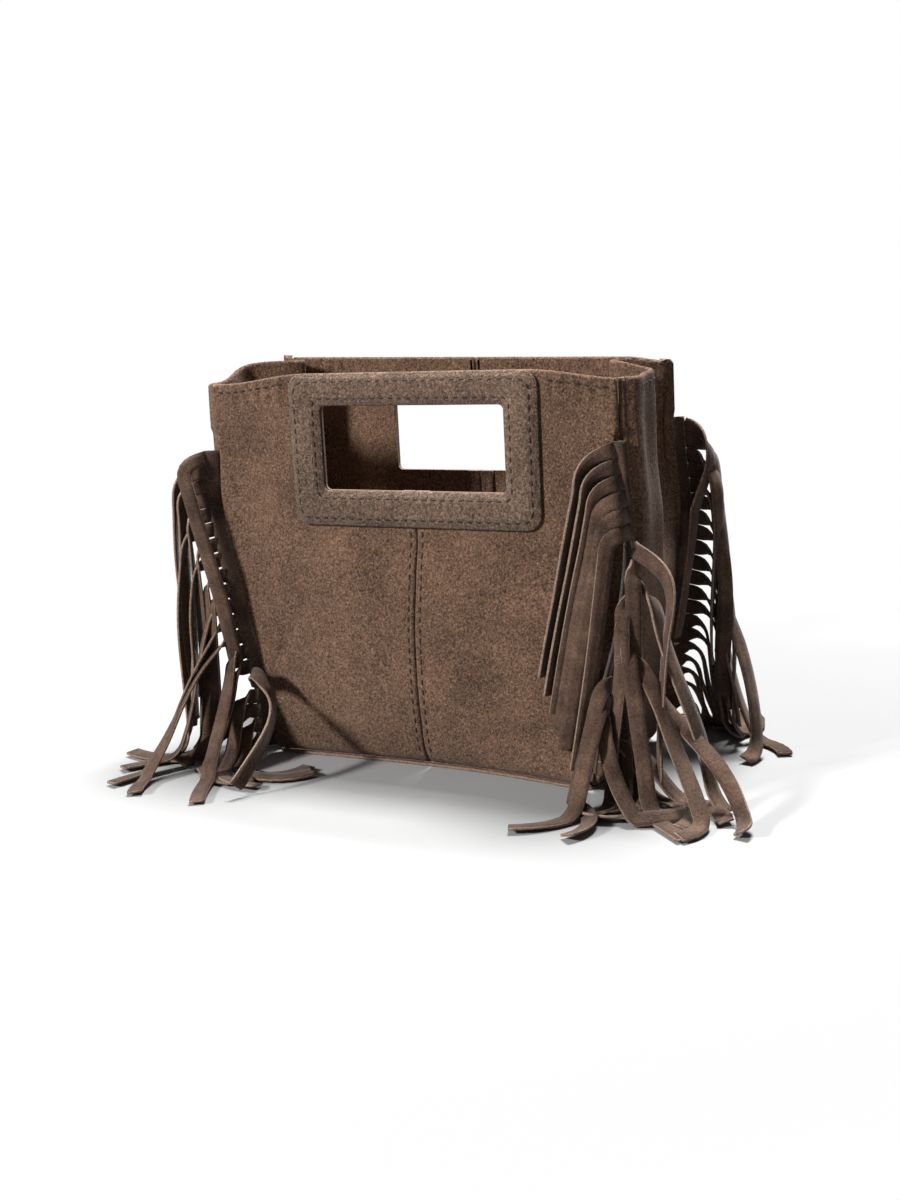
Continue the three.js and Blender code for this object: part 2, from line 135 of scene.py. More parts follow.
def half_width(z, side):
    """Half width of the bag at the corner seams. The bag stands a little fuller on its left side."""
    fullness = left_fullness * smooth(fullness_start, fullness_full, z) if side < 0 else 0
    return fullness + along([
        (0, base_half_width),
        (belly_height * 0.31, base_half_width + 1.5),
        (belly_height * 0.62, mix(base_half_width, belly_half_width, 0.64)),
        (belly_height, belly_half_width),
        (belly_height + 38, rim_half_width + 0.6),
        (body_height, rim_half_width),
    ], z)


def face_depth(x, z, side):
    """How far the outside of the front or back lies from the middle plane."""
    across = min(1, abs(x) / half_width(z, x))
    belly = front_belly if side < 0 else back_belly
    edge = along([(0, base_half_depth), (60, base_half_depth - 0.5), (flat_from, rim_half_depth)], z)
    middle = along([(0, -bottom_edge_hollow), (20, belly * 0.3), (60, belly), (100, belly * 0.5),
                    (flat_from, 0)], z)
    flare = front_right_flare * (1 - clamp01(z / flare_height)) ** 2 if side < 0 and x > 0 else 0
    return edge + middle * (1 - across * across) + flare * across * across


def rim_height(x, y):
    front = body_height - front_corner_drop * smooth(60, rim_half_width, abs(x))
    back = (body_height + back_rise - back_tilt * (x / rim_half_width)
            - back_corner_drop * smooth(rim_half_width - 24, rim_half_width, x))
    return mix(front, back, smooth(-26, 8, y))


def raised(x, y, z):
    return z + (rim_height(x, y) - body_height) * smooth(flat_from, body_height, z)


def seam_gap(z):
    """From a corner seam's middle to the leather on each side: wide where the fringe is caught in it."""
    caught = 1 - smooth(caught_top + 1, caught_top + 4, z)
    return math.sqrt(2) * mix(clearance, fringe_suede / 2 + 2.8 * clearance, caught)


def crease(x, z, middle_x, middle_z, angle, length, width, depth):
    """Depth of one crease in the leather at a point."""
    turn = math.radians(angle)
    run = (x - middle_x) * math.cos(turn) + (z - middle_z) * math.sin(turn)
    off = (z - middle_z) * math.cos(turn) - (x - middle_x) * math.sin(turn)
    return depth * math.exp(-(run / length) ** 2 - (off / width) ** 2)


creases = [
    (-78, 62, 60, 22, 4, -1.6),
    (-70, 55, -35, 18, 4, -1.5),
    (-88, 40, 15, 16, 4.5, -1.2),
    (-60, 70, 10, 14, 5, 1.0),
    (70, 98, 12, 26, 5, -1.3),
    (74, 86, 8, 24, 6, 1.2),
    (62, 26, 10, 26, 5, -1.2),
    (52, 36, -18, 22, 6, 1.1),
    (20, 44, 70, 26, 7, 0.9),
    (-30, 100, -70, 18, 6, 0.8),
]


def drape(x, z, side):
    """How far the soft leather stands out from its even shape. It is held flat behind a handle."""
    turn = 0.6 if side < 0 else 2.2
    waves = (0.8 * math.sin(x / 17 + z / 29 + turn) * math.sin(z / 21 - x / 37 + 2 * turn)
             + 0.35 * math.sin(x / 8 - z / 13 + 3 * turn) * math.sin(z / 9 + x / 15))
    waves += sum(crease(x, z, *c) for c in creases) if side < 0 else 0
    held = smooth(flat_from + 4, flat_from - 14, z) if abs(x) < 76 else mix(
        smooth(flat_from + 4, flat_from - 14, z), 1, smooth(76, 90, abs(x)))
    pucker = (0.5 * math.sin(x * 0.9) * smooth(181, 190, z) * smooth(70, 76, abs(x))
              * smooth(rim_half_width, rim_half_width - 8, abs(x)))
    return (waves * held + pucker) * smooth(2, 14, z)


def make_rows():
    """Rows up a wall, rolled under at the base, and rows over the rim and down as the hem."""
    rows = []
    lift = suede + clearance
    for angle in range(80, -1, -10):
        turn = math.radians(angle)
        rows.append({"z": lift + bottom_radius * (1 - math.sin(turn)),
                     "inset": bottom_radius * (1 - math.cos(turn)), "turned": 0, "tilt": turn})
    top = body_height - fold_radius
    count = round((top - rows[-1]["z"]) / grain)
    start = rows[-1]["z"]
    rows += [{"z": mix(start, top, k / count), "inset": 0, "turned": 0, "tilt": 0}
             for k in range(1, count + 1)]
    hem = []
    for angle in range(0, 181, 20):
        turn = math.radians(angle)
        hem.append({"z": top + fold_radius * math.sin(turn), "inset": 0,
                    "turned": fold_radius * (1 - math.cos(turn)), "tilt": 0})
    hem += [{"z": top - (hem_depth - fold_radius) * k / 6, "inset": 0, "turned": 2 * fold_radius, "tilt": 0}
            for k in range(1, 7)]
    return rows, hem


wall_rows, hem_rows = make_rows()


def fold(corner, towards, away, radius, steps=6):
    """Points round a fold at a corner: `towards` runs along the sheet to it, `away` runs on from it."""
    turn = towards.angle(away)
    setback = radius * math.tan(turn / 2)
    centre = (corner - towards * setback) + (away - towards * towards.dot(away)).normalized() * radius
    start = corner - towards * setback - centre
    side = towards
    return [centre + start * math.cos(turn * k / steps) + side * radius * math.sin(turn * k / steps)
            for k in range(steps + 1)]


def spread(start, end, count):
    return [mix(start, end, k / count) for k in range(count + 1)]


def panel_section(side_x, side_y, row):
    """The outside line of half a face in plan, from its middle seam out to its corner seam."""
    z, turned = row["z"], row["turned"]
    trim = mix(1, trimmed_share, smooth(trim_start, trim_end, z))
    width = half_width(z, side_x) - row["inset"]
    corner_x = width - seam_gap(z)
    towards = Vector((side_x, 0))
    inwards = Vector((-side_x, -side_y)).normalized()

    def on_face(x):
        depth = face_depth(side_x * x, z, side_y) - row["inset"] + drape(side_x * x, z, side_y)
        return Vector((side_x * x, side_y * depth))

    first = clearance / 2 + fold_radius
    points = []
    face = on_face(first).to_3d()
    into = Vector((0, -side_y * math.cos(row["tilt"]), math.sin(row["tilt"])))
    for x in spread(first + (seam_allowance - fold_radius) * trim, first, 3)[:-1]:
        points.append(face + Vector((side_x * (x - first), 0, 0)) + into * 2 * fold_radius)
    for k in range(6):
        turn = math.pi * k / 6
        points.append(face - Vector((side_x * fold_radius * math.sin(turn), 0, 0))
                      + into * fold_radius * (1 + math.cos(turn)))
    count = round((belly_half_width - fold_setback - first) / grain)
    points += [on_face(x) for x in spread(first, corner_x - fold_setback, count)]
    corner = on_face(corner_x)
    points[-1] = corner - towards * fold_setback
    points += fold(corner, towards, inwards, fold_radius)[1:]
    turned_in = seam_allowance - fold_setback
    points += [corner + inwards * (fold_setback + turned_in * trim * k / 3) for k in range(1, 4)]
    return [p.to_3d() + Vector((-side_x * turned * abs(p.x) / corner_x, -side_y * turned, 0)) for p in points]


def leather(name, grids, thickness, finishes, wrap=False, offset=-1, even=True):
    """One piece of leather, from grids of points on its outer face. Its cut edges have the second finish."""
    vertices = []
    faces = []
    for grid in grids:
        first, columns = len(vertices), len(grid[0])
        vertices += [p * MM for row in grid for p in row]
        for r in range(len(grid) - 1):
            for c in range(columns if wrap else columns - 1):
                a, b = first + r * columns + c, first + r * columns + (c + 1) % columns
                faces.append((a, b, b + columns, a + columns))
    mesh = bpy.data.meshes.new(name)
    mesh.from_pydata(vertices, [], faces)
    mesh.polygons.foreach_set("use_smooth", [True] * len(faces))
    piece = bpy.data.objects.new(name, mesh)
    bpy.context.scene.collection.objects.link(piece)
    for finish in finishes:
        mesh.materials.append(finish)
    if len(grids) == 2:
        merge = piece.modifiers.new("join", "WELD")
        merge.merge_threshold = 0.02 * MM
    wall = piece.modifiers.new("thickness", "SOLIDIFY")
    wall.thickness = thickness * MM
    wall.offset = offset
    wall.use_even_offset = even
    wall.material_offset_rim = 1
    apply_modifiers(piece)
    return piece


def apply_modifiers(piece):
    bpy.ops.object.select_all(action="DESELECT")
    piece.select_set(True)
    bpy.context.view_layer.objects.active = piece
    for modifier in list(piece.modifiers):
        bpy.ops.object.modifier_apply(modifier=modifier.name)


def wall_grids(section, side, seam_points):
    """A wall and its hem as rows of points, in the order that turns their faces outwards.
    The last points at each side, which lie in the seams, have no hem and end at the rim."""
    before, after = seam_points
    grids = []
    for rows in (wall_rows, hem_rows):
        grid = []
        for row in rows:
            points = section(row)
            line = [Vector((p.x, p.y, raised(p.x, p.y, row["z"]) + p.z)) for p in points]
            if rows is hem_rows:
                line = line[before:len(line) - after]
            elif row is wall_rows[-1]:
                for p in line[:before] + line[len(line) - after:]:
                    p.z += fold_radius * 0.8
            grid.append(line if side > 0 else list(reversed(line)))
        grids.append(grid)
    return grids


class Wire:
    """An output of a node. Arithmetic on wires adds Math nodes, and node() adds any other kind."""

    def __init__(self, tree, socket=None):
        self.tree = tree
        self.socket = socket

    def node(self, kind, settings=None, inputs=None, output=0):
        made = self.tree.nodes.new("ShaderNode" + kind)
        for name, value in (settings or {}).items():
            setattr(made, name, value)
        for name, value in (inputs or {}).items():
            if isinstance(value, Wire):
                self.tree.links.new(value.socket, made.inputs[name])
            else:
                made.inputs[name].default_value = value
        return Wire(self.tree, made.outputs[output])

    def math(self, operation, *values):
        return self.node("Math", {"operation": operation}, dict(enumerate(values)))

    def __add__(self, other):
        return self.math("ADD", self, other)

    def __mul__(self, other):
        return self.math("MULTIPLY", self, other)

    __radd__ = __add__
    __rmul__ = __mul__

    def between(self, low, high):
        """0 below low, 1 above high, and a straight ramp between them."""
        return self.node("MapRange", {"clamp": True}, {"Value": self, "From Min": low, "From Max": high})

    def blend(self, first, second):
        """The first colour where this is 0, and the second where it is 1."""
        return self.node("Mix", {"data_type": "RGBA"}, {0: self, 6: first, 7: second}, 2)


def new_finish(name, roughness, sheen, specular=0.25):
    """An empty material with its shader, and a wire to add nodes from."""
    material = bpy.data.materials.new(name)
    material.use_nodes = True
    shader = material.node_tree.nodes["Principled BSDF"]
    shader.inputs["Roughness"].default_value = roughness
    shader.inputs["Sheen Weight"].default_value = sheen
    shader.inputs["Sheen Roughness"].default_value = 0.5
    shader.inputs["Specular IOR Level"].default_value = specular
    return material, shader, Wire(material.node_tree)


def connect(wires, shader, colour, height, depth):
    """Feeds a colour and a bump of the given depth in millimetres to a shader."""
    bump = wires.node("Bump", None, {"Strength": 1.0, "Distance": depth * MM, "Height": height})
    wires.tree.links.new(colour.socket, shader.inputs["Base Color"])
    wires.tree.links.new(bump.socket, shader.inputs["Normal"])


def noise(wires, place, size, detail=2.0, roughness=0.5, distortion=0.0):
    """Noise with features of the given size in millimetres."""
    return wires.node("TexNoise", {"noise_dimensions": "3D"},
                      {"Vector": place, "Scale": 1 / (size * MM), "Detail": detail,
                       "Roughness": roughness, "Distortion": distortion})


def split_suede(name, dark, middle, light, nap_size=1.05, nap_depth=0.9):
    """Coarse split suede: a rough nap in clumps, worn lighter in clouds."""
    material, shader, wires = new_finish(name, 0.95, 0.1)
    place = wires.node("TexCoord", output="Object")
    nap = noise(wires, place, nap_size, 3.0, 0.6, 0.6)
    clumps = noise(wires, place, nap_size * 3.3, 3.0, 0.6, 0.5)
    clouds = noise(wires, place, 30, 3.0, 0.55)
    tone = nap * 0.68 + clumps * 0.13 + clouds * 0.19
    low = tone.between(0.38, 0.52).blend(dark, middle)
    colour = tone.between(0.52, 0.68).blend(low, light)
    connect(wires, shader, colour, nap + clumps * 0.5, nap_depth)
    return material


panel_suede = split_suede("panel_suede", (0.038, 0.02, 0.012, 1), (0.143, 0.08, 0.049, 1),
                          (0.31, 0.175, 0.109, 1))
cut_edge, edge_shader, edge_wires = new_finish("cut_edge", 0.95, 0.1)
edge_place = edge_wires.node("TexCoord", output="Object")
edge_fibres = noise(edge_wires, edge_place, 0.8, 3.0, 0.6)
connect(edge_wires, edge_shader,
        edge_fibres.between(0.35, 0.7).blend((0.13, 0.085, 0.06, 1), (0.34, 0.24, 0.18, 1)), edge_fibres, 0.3)

opening_width = 100
opening_height = 42
opening_bottom = 142
opening_radius = 2.5
cutter_reach = 12


def rounded_outline(width, height, bottom, radius, side_count=40, end_count=18, arc_count=6):
    """Points round an upright rectangle with round corners, clockwise from above its lower left corner."""
    points = []
    corners = [(-1, 0, 180), (1, 0, 270), (1, 1, 0), (-1, 1, 90)]
    counts = [side_count, end_count, side_count, end_count]
    arcs = []
    for side, upper, start in corners:
        centre = Vector((side * (width / 2 - radius), bottom + (height - radius if upper else radius)))
        arcs.append([centre + radius * Vector((math.cos(math.radians(start + 90 * k / arc_count)),
                                               math.sin(math.radians(start + 90 * k / arc_count))))
                     for k in range(arc_count + 1)])
    for k, arc in enumerate(arcs):
        points += arc
        following = arcs[(k + 1) % 4][0]
        points += [arc[-1].lerp(following, i / counts[k]) for i in range(1, counts[k])]
    return points


def cut_opening(piece, side_y):
    """Cuts the hand opening through a panel, and leaves the cut with the finish of a cut edge."""
    outline = rounded_outline(opening_width, opening_height, opening_bottom, opening_radius, 1, 1)
    near, far = rim_half_depth - cutter_reach, rim_half_depth + cutter_reach
    count = len(outline)
    vertices = [Vector((p.x, side_y * y, p.y)) * MM for y in (near, far) for p in outline]
    faces = [tuple(range(count)), tuple(reversed(range(count, 2 * count)))]
    faces += [(k, k + count, (k + 1) % count + count, (k + 1) % count) for k in range(count)]
    mesh = bpy.data.meshes.new("opening")
    mesh.from_pydata(vertices, [], faces)
    mesh.materials.append(cut_edge)
    cutter = bpy.data.objects.new("opening", mesh)
    bpy.context.scene.collection.objects.link(cutter)
    bpy.ops.object.select_all(action="DESELECT")
    cutter.select_set(True)
    bpy.context.view_layer.objects.active = cutter
    bpy.ops.object.mode_set(mode="EDIT")
    bpy.ops.mesh.select_all(action="SELECT")
    bpy.ops.mesh.normals_make_consistent(inside=False)
    bpy.ops.object.mode_set(mode="OBJECT")
    cut = piece.modifiers.new("opening", "BOOLEAN")
    cut.operation = "DIFFERENCE"
    cut.solver = "EXACT"
    cut.object = cutter
    cut.material_mode = "TRANSFER"
    apply_modifiers(piece)
    bpy.data.objects.remove(cutter)


for face_name, side_y in (("front", -1), ("back", 1)):
    for half_name, side_x in (("left", -1), ("right", 1)):
        grids = wall_grids(lambda row: panel_section(side_x, side_y, row), -side_x * side_y, (8, 9))
        panel = leather(f"{face_name}_{half_name}_leather", grids, suede, [panel_suede, cut_edge])
        cut_opening(panel, side_y)
        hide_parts(f"{face_name}_panel_{half_name}")
        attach(panel, "root")

# Side gussets. One piece of the same suede on each side, joined to the faces along the corner seams.
# Each is pushed in behind its middle, so that the bag can be squeezed flat, and the fold dies out downwards.
gusset_bulge = 3.5
gusset_roll = 5
roll_start = 60
roll_full = 150
gusset_grain = 1.2
fold_ridge_y = 0
fold_valley_y = 15
fold_depth = 23
fold_start = 85
fold_full = 165


def gusset_section(side_x, row):
    """The outside line of a gusset in plan, from its front seam to its back seam."""
    z, turned = row["z"], row["turned"]
    trim = mix(1, trimmed_share, smooth(trim_start, trim_end, z))
    width = half_width(z, side_x) - row["inset"]
    gap = seam_gap(z)
    front_y = -(face_depth(side_x * width, z, -1) - row["inset"]) + gap
    back_y = face_depth(side_x * width, z, 1) - row["inset"] - gap
    folded = smooth(fold_start, fold_full, z)
    bow = gusset_bulge * smooth(0, 30, z)
    rolled = smooth(roll_start, roll_full, z)
    offsets = [
        (front_y, 0),
        (front_y + 8, gusset_roll * rolled),
        (fold_ridge_y - 18, mix(bow, gusset_roll * 0.7, rolled)),
        (fold_ridge_y, mix(bow, 1.5, rolled)),
        (fold_valley_y, mix(bow * 0.9, -fold_depth, folded)),
        (fold_valley_y + 12, mix(bow * 0.6, -fold_depth * 0.45, folded)),
        (back_y, 0),
    ]

    def on_gusset(y):
        ripple = 0.5 * math.sin(y / 7 + z / 19 + side_x) * math.sin(z / 15) * smooth(2, 20, z)
        return Vector((side_x * (width + along(offsets, y) + ripple * smooth(40, 30, abs(y))), y))

    turned_in = seam_allowance - fold_setback
    front, back = on_gusset(front_y), on_gusset(back_y)
    into_front = Vector((-side_x, 1)).normalized()
    into_back = Vector((-side_x, -1)).normalized()
    points = [front + into_front * (fold_setback + turned_in * trim * k / 3) for k in (3, 2, 1)]
    points += reversed(fold(front, Vector((0, -1)), into_front, fold_radius))
    count = round((2 * base_half_depth - 2 * fold_setback) / gusset_grain)
    points += [on_gusset(y) for y in spread(front_y + fold_setback, back_y - fold_setback, count)[1:-1]]
    points += fold(back, Vector((0, 1)), into_back, fold_radius)
    points += [back + into_back * (fold_setback + turned_in * trim * k / 3) for k in (1, 2, 3)]
    return [p.to_3d() + Vector((-side_x * turned, -turned * p.y / rim_half_depth, 0)) for p in points]


for side_name, side_x in (("left", -1), ("right", 1)):
    grids = wall_grids(lambda row: gusset_section(side_x, row), side_x, (9, 9))
    gusset = leather(f"{side_name}_gusset_leather", grids, suede, [panel_suede, cut_edge])
    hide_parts(f"gusset_{side_name}")
    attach(gusset, "root")

# Base. A flat piece of the same suede under the rolled edges of the walls, with its cut edge just showing.
base_inset = bottom_radius * 0.35


def base_point(across, back):
    """A point of the base's upper face, for places from -1 to 1 across it and from front to back."""
    round_off = 1 - 0.04 * abs(back) ** 8
    x = (half_width(0, across) - base_inset) * across * round_off
    side = -1 if back < 0 else 1
    depth = (face_depth(x, 0, side) - base_inset) * (1 - 0.06 * abs(across) ** 10)
    return Vector((x, depth * back, suede))


base_grid = [[base_point(u, v) for u in spread(-1, 1, 60)] for v in spread(-1, 1, 28)]
base = leather("base_leather", [base_grid], suede, [panel_suede, cut_edge])
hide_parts("base_panel")
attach(base, "root")

# Handle boards. A stiff frame of pressed fibre board lies hidden between each patch and its panel.
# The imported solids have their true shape, so they stay and only get the finish of grey-brown board.
board_finish, board_shader, board_wires = new_finish("fibre_board", 0.9, 0.0)
board_place = board_wires.node("TexCoord", output="Object")
board_fibres = noise(board_wires, board_place, 1.2, 4.0, 0.7)
connect(board_wires, board_shader,
        board_fibres.between(0.3, 0.7).blend((0.09, 0.075, 0.06, 1), (0.2, 0.17, 0.14, 1)), board_fibres, 0.2)
for board_name in ("front_handle_board", "back_handle_board"):
    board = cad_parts[board_name]
    board.data.materials.clear()
    board.data.materials.append(board_finish)

# Handle patches. A frame of the same suede with round corners is drawn over each board.
# It is sewn down to the panel by a row of thread near its outer edge and one round the hand opening.
patch_border = 18
patch_radius = 8
patch_low, patch_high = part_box("front_handle_patch")
patch_width = (patch_high.x - patch_low.x) / MM
patch_bottom = patch_low.z / MM
patch_height = patch_high.z / MM - patch_bottom
patch_lift = -patch_low.y / MM - rim_half_depth
outer_row = 4
inner_row = 3.75
patch_suede = split_suede("patch_suede", (0.04, 0.026, 0.019, 1), (0.146, 0.092, 0.063, 1),
                          (0.33, 0.215, 0.152, 1), 1.0, 0.8)


def patch_height_at(edge, inner):
    """How far the patch's face stands off the panel, by its distance from its outer and inner edges."""
    nearest = min(edge, inner)
    over_board = mix(suede + 0.15, patch_lift, smooth(0, 4.6, nearest))
    outer_groove = 0.5 * math.exp(-((edge - outer_row) / 0.9) ** 2)
    inner_groove = 0.5 * math.exp(-((inner - inner_row) / 0.9) ** 2)
    return over_board - (outer_groove + inner_groove) * 0.8 - 0.35 * smooth(0.9, 0, nearest)


def patch_grid(side_y):
    outer = rounded_outline(patch_width, patch_height, patch_bottom, patch_radius)
    inner = rounded_outline(opening_width, opening_height, opening_bottom, opening_radius)
    grid = []
    for share in spread(0, 1, 26):
        row = []
        for a, b in zip(inner, outer):
            p = a.lerp(b, share)
            reach = (b - a).length
            scale = patch_border / reach if reach else 1
            height = patch_height_at((1 - share) * reach * scale, share * reach * scale)
            wobble = 0.12 * math.sin(p.x / 6) * math.sin(p.y / 5 + 1)
            inside = min(share, 1 - share) * patch_border
            depth = face_depth(p.x, p.y, side_y) + height + wobble * smooth(0, 6, inside)
            row.append(Vector((p.x, side_y * depth, p.y)))
        grid.append(row if side_y > 0 else list(reversed(row)))
    return grid


for face_name, side_y in (("front", -1), ("back", 1)):
    patch = leather(f"{face_name}_patch_leather", [patch_grid(side_y)], suede, [patch_suede, cut_edge],
                    wrap=True)
    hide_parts(f"{face_name}_handle_patch")
    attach(patch, "root")

# Stitches. Dark brown thread holds the patches, the middle seams and the rim's hem in rows of short
# stitches, each pulled half into the leather. One stitch is modelled and copied along every row.
stitch_length = 3.2
stitch_thickness = 1.2
patch_pitch = 5
seam_pitch = 5.3
seam_row = 3.2
rim_row = 195
thread, thread_shader, thread_wires = new_finish("thread", 0.7, 0.1)
thread_place = thread_wires.node("TexCoord", output="Object")
twist = noise(thread_wires, thread_place, 0.4, 2.0, 0.5)
connect(thread_wires, thread_shader,
        twist.between(0.3, 0.7).blend((0.012, 0.008, 0.006, 1), (0.045, 0.028, 0.02, 1)), twist, 0.1)
bpy.ops.object.select_all(action="DESELECT")
bpy.ops.mesh.primitive_uv_sphere_add(segments=8, ring_count=5, radius=0.5 * MM)
stitch = bpy.context.object
bpy.ops.object.mode_set(mode="EDIT")
bpy.ops.mesh.select_all(action="SELECT")
bpy.ops.transform.resize(value=(stitch_thickness, stitch_thickness * 0.8, stitch_length))
bpy.ops.object.mode_set(mode="OBJECT")
bpy.ops.object.shade_smooth()
stitch.data.materials.append(thread)


def sew(points, side, pitch, closed=False):
    """Copies the stitch along a line of points on the leather, which faces `side`."""
    line = [p * MM for p in points] + ([points[0] * MM] if closed else [])
    lengths = [(b - a).length for a, b in zip(line, line[1:])]
    count = round(sum(lengths) / (pitch * MM))
    step = sum(lengths) / count
    made = []
    k, left = 0, step / 2
    for _ in range(count):
        while k < len(lengths) - 1 and left > lengths[k]:
            left -= lengths[k]
            k += 1
        ahead = (line[k + 1] - line[k]).normalized()
        out = (side - ahead * ahead.dot(side)).normalized()
        across = out.cross(ahead)
        copy = stitch.copy()
        copy.data = stitch.data.copy()
        copy.data.transform(Matrix.Translation(line[k] + ahead * left)
                            @ Matrix((across, out, ahead)).transposed().to_4x4())
        bpy.context.scene.collection.objects.link(copy)
        made.append(copy)
        left += step
    return made


def finish_row(name, made):
    bpy.ops.object.select_all(action="DESELECT")
    for copy in made:
        copy.select_set(True)
    bpy.context.view_layer.objects.active = made[0]
    bpy.ops.object.join()
    row = bpy.context.object
    row.name = name
    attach(row, "root")


def along_row(section, height, keep):
    """The points of a wall's outside line at a height, where `keep` is true."""
    row = min(wall_rows, key=lambda r: abs(r["z"] - height))
    points = [Vector((p.x, p.y, raised(p.x, p.y, row["z"]))) for p in section(row)]
    return [p for p in points if keep(p)]


def patch_row(inset, width, height, bottom, radius, side_y):
    edge, inner = (inset, 99) if inset > 0 else (99, -inset)
    return [Vector((p.x, side_y * (face_depth(p.x, p.y, side_y) + patch_height_at(edge, inner)), p.y))
            for p in rounded_outline(width - 2 * inset, height - 2 * inset, bottom + inset,
                                     radius - inset / 2)]


for face_name, side_y in (("front", -1), ("back", 1)):
    outwards = Vector((0, side_y, 0))
    rows = sew(patch_row(outer_row, patch_width, patch_height, patch_bottom, patch_radius, side_y),
               outwards, patch_pitch, True)
    rows += sew(patch_row(-inner_row, opening_width, opening_height, opening_bottom, opening_radius, side_y),
                outwards, patch_pitch, True)
    finish_row(f"{face_name}_patch_stitches", rows)
    rows = []
    for side_x in (-1, 1):
        rows += sew([Vector((side_x * seam_row, side_y * (face_depth(seam_row, z, side_y)
                                                          + drape(side_x * seam_row, z, side_y)), z))
                     for z in spread(9, patch_bottom - 1, 40)], outwards, seam_pitch)
        edge = rim_half_width - 5 + (left_fullness if side_x < 0 else 0)
        rows += sew(along_row(lambda row: panel_section(side_x, side_y, row), rim_row,
                              lambda p: (patch_width / 2 + 2 < abs(p.x) < edge
                                         and abs(p.y) > rim_half_depth - 1.5)),
                    outwards, patch_pitch)
    finish_row(f"{face_name}_stitches", rows)
for side_name, side_x in (("left", -1), ("right", 1)):
    finish_row(f"{side_name}_gusset_stitches",
               sew(along_row(lambda row: gusset_section(side_x, row), rim_row,
                             lambda p: abs(p.y) < rim_half_depth - 6), Vector((side_x, 0, 0)), patch_pitch))
bpy.data.objects.remove(stitch)

# Fringe. A strip of thinner, smoother suede is caught in each corner seam and cut into strands up to it.
# The strands leave the seam sideways, turn at their roots, hang with a twist, and the lower ones curl on
# the ground. Angles are in degrees; "top" and "tip" are off plumb, and "lean" is the way they hang to.
strand_count = 20
strand_pitch = 8
slit_width = 0.5
strand_length = 118
bottom_trim = 36
header_inside = 6
root_overlap = 0.6
elbow_out = 1.5
landing_radius = 16
strand_step = 2.5
strand_width = strand_pitch - slit_width


def scatter(seed, item):
    """A fixed value from -1 to 1 that looks random."""
    value = math.sin(seed * 12.9898 + item * 78.233) * 43758.5453
    return 2 * (value - math.floor(value)) - 1


def heading(azimuth, elevation):
    turn, rise = math.radians(azimuth), math.radians(elevation)
    return Vector((math.cos(rise) * math.cos(turn), math.cos(rise) * math.sin(turn), math.sin(rise)))


def outside_bag(point, room):
    """Moves a point out of the bag's walls by the room it needs."""
    z = max(0, point.z)
    if z > body_height:
        return
    side = -1 if point.y < 0 else 1
    inside_width = half_width(z, point.x) + gusset_roll + room - abs(point.x)
    inside_depth = face_depth(point.x, z, side) + room - abs(point.y)
    if inside_width <= 0 or inside_depth <= 0:
        return
    if inside_depth < inside_width:
        point.y += side * inside_depth
    else:
        point.x += math.copysign(inside_width, point.x)


def strand_path(root, lay):
    """Centre points and width directions of one strand."""
    leaving = heading(lay["out"], lay["rise"])
    point = root.copy()
    across = Vector((0, 0, 1))
    direction = leaving.copy()
    landed = 0
    path = []
    s = 0
    while s <= lay["length"]:
        across = (across - direction * across.dot(direction)).normalized()
        path.append((point.copy(), across.copy()))
        hung = clamp01((s - lay["reach"]) / (lay["length"] - lay["reach"]))
        plumb = mix(lay["top"], lay["tip"], hung ** lay["hook"])
        plumb += lay["sway"] * math.sin(s / lay["swing"] + lay["phase"]) * smooth(0, 2 * lay["reach"], s)
        hanging = heading(lay["lean"] + lay["turn"] * hung, plumb - 90)
        following = leaving.lerp(hanging, smooth(1, lay["reach"] * 2, s)).normalized()
        face = direction.cross(across)
        room = abs(across.z) * strand_width / 2 + abs(face.z) * fringe_suede / 2 + 4 * clearance
        height = max(0, point.z - room)
        if height < landing_radius:
            fall = math.sqrt(1 - (1 - height / landing_radius) ** 2)
            if following.z < -fall:
                landed += strand_step
                level = heading(lay["floor"] + lay["curl"] * landed, 0) * math.sqrt(1 - fall * fall)
                following = Vector((level.x, level.y, -fall))
                flat = following.cross(Vector((0, 0, 1))).normalized()
                across = across.lerp(flat if flat.dot(across) > 0 else -flat, lay["settle"])
        bend = direction.cross(following)
        limp = lay["limp"] if s < 2 * lay["reach"] else 1
        if limp and bend.length > 1e-4:
            weight = (0.15 if landed else limp) * min(0.5, 2.5 * bend.length)
            bend.normalize()
            across = across.lerp(bend if bend.dot(across) > 0 else -bend, weight)
        turned = lay["twist"] / lay["length"] if s > lay["reach"] else 0
        if s < 2 * lay["reach"]:
            turned += lay["lift"] / (2 * lay["reach"])
        across = Matrix.Rotation(math.radians(turned * strand_step), 3, direction) @ across
        direction = following.normalized()
        point = point + direction * strand_step
        outside_bag(point, lay["room"])
        point.z = max(point.z, room)
        s += strand_step
    return path


def ribbon_grid(path):
    """The middle of a strand as rows of points across it."""
    grid = []
    for k, (point, across) in enumerate(path):
        before, after = path[max(0, k - 1)][0], path[min(len(path) - 1, k + 1)][0]
        ahead = (after - before).normalized()
        side = (across - ahead * across.dot(ahead)).normalized()
        grid.append([point + side * strand_width * share for share in (-0.5, -0.17, 0.17, 0.5)])
    return grid


